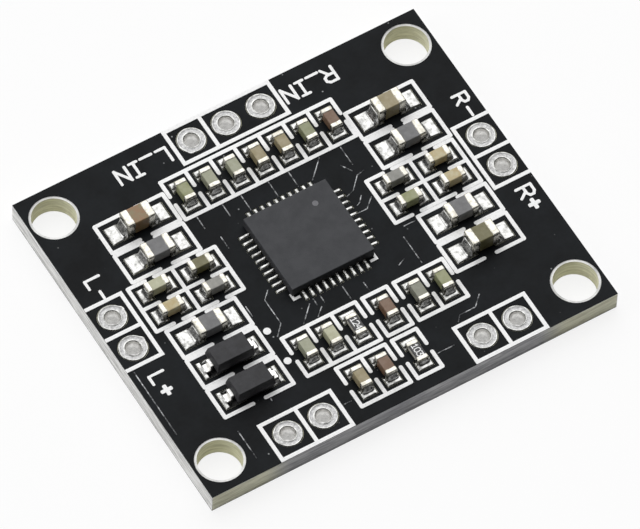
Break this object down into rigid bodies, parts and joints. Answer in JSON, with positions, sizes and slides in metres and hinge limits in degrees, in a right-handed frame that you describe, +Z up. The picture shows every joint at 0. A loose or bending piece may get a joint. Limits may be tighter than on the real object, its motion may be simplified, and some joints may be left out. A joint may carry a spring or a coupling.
{
  "type": "audio amplifier board",
  "caption": "Small stereo audio amplifier board: a flat no-lead chip among framed chip capacitors, beads, diodes and resistors, with wire terminals and mounting holes at the edges.",
  "frame": {"origin": "middle of the board's underside", "axes": "+X along the long edge, towards the right-hand terminals; +Y towards the input terminals; +Z up, out of the side that carries the parts"},
  "size_m": [0.0294, 0.0244, 0.0029],
  "materials": {
    "glass_epoxy": "sawn glass-epoxy edge, pale olive and matt",
    "solder_mask": "black solder mask, semi-gloss",
    "legend_ink": "white printed ink, matt",
    "solder": "bright tin solder, smooth and wavy",
    "tin_plate": "matt tin plate",
    "chip_mould": "dark grey moulded epoxy, fine matt grain",
    "diode_mould": "black moulded epoxy, satin",
    "ceramic_olive": "fired olive dielectric ceramic, satin",
    "ceramic_tan": "fired tan dielectric ceramic, satin",
    "ceramic_brown": "fired red-brown dielectric ceramic, satin",
    "ceramic_grey": "fired grey dielectric ceramic, satin",
    "ferrite": "fired grey ferrite, matt",
    "resistor_glaze": "black glaze over white ceramic, satin"
  },
  "bodies": {
    "root": {"amplifier_chip": "chip_mould", "board_laminate": "glass_epoxy", "bottom_solder_mask": "solder_mask", "chip_heat_pad": "tin_plate", "chip_leads": "tin_plate", "chip_solder": "solder", "control_capacitor_1": "ceramic_olive", "control_capacitor_2": "ceramic_olive", "control_capacitor_3": "ceramic_brown", "control_capacitor_4": "ceramic_olive", "control_capacitor_5": "ceramic_olive", "control_capacitor_6": "ceramic_tan", "control_capacitor_7": "ceramic_brown", "control_metal_ends": "tin_plate", "control_resistor_1": "resistor_glaze", "control_resistor_2": "resistor_glaze", "control_solder": "solder", "diode_leads": "tin_plate", "front_diode": "diode_mould", "front_left_terminals": "solder", "front_right_terminals": "solder", "input_capacitor_1": "ceramic_olive", "input_capacitor_2": "ceramic_olive", "input_capacitor_3": "ceramic_olive", "input_capacitor_4": "ceramic_tan", "input_capacitor_5": "ceramic_tan", "input_capacitor_6": "ceramic_olive", "input_capacitor_7": "ceramic_brown", "input_metal_ends": "tin_plate", "input_solder": "solder", "input_terminals": "solder", "left_front_bead": "ferrite", "left_front_metal_ends": "tin_plate", "left_grid_metal_ends": "tin_plate", "left_rear_bead": "ferrite", "left_rear_capacitor": "ceramic_tan", "left_rear_metal_ends": "tin_plate", "left_small_capacitor_1": "ceramic_tan", "left_small_capacitor_2": "ceramic_olive", "left_small_capacitor_3": "ceramic_tan", "left_small_capacitor_4": "ceramic_grey", "left_solder": "solder", "left_terminals": "solder", "printed_legend": "legend_ink", "rear_diode": "diode_mould", "right_front_bead": "ferrite", "right_front_capacitor": "ceramic_tan", "right_front_metal_ends": "tin_plate", "right_grid_metal_ends": "tin_plate", "right_rear_bead": "ferrite", "right_rear_capacitor": "ceramic_tan", "right_rear_metal_ends": "tin_plate", "right_small_capacitor_1": "ceramic_grey", "right_small_capacitor_2": "ceramic_tan", "right_small_capacitor_3": "ceramic_olive", "right_small_capacitor_4": "ceramic_tan", "right_solder": "solder", "right_terminals": "solder", "top_solder_mask": "solder_mask"}
  },
  "joints": []
}
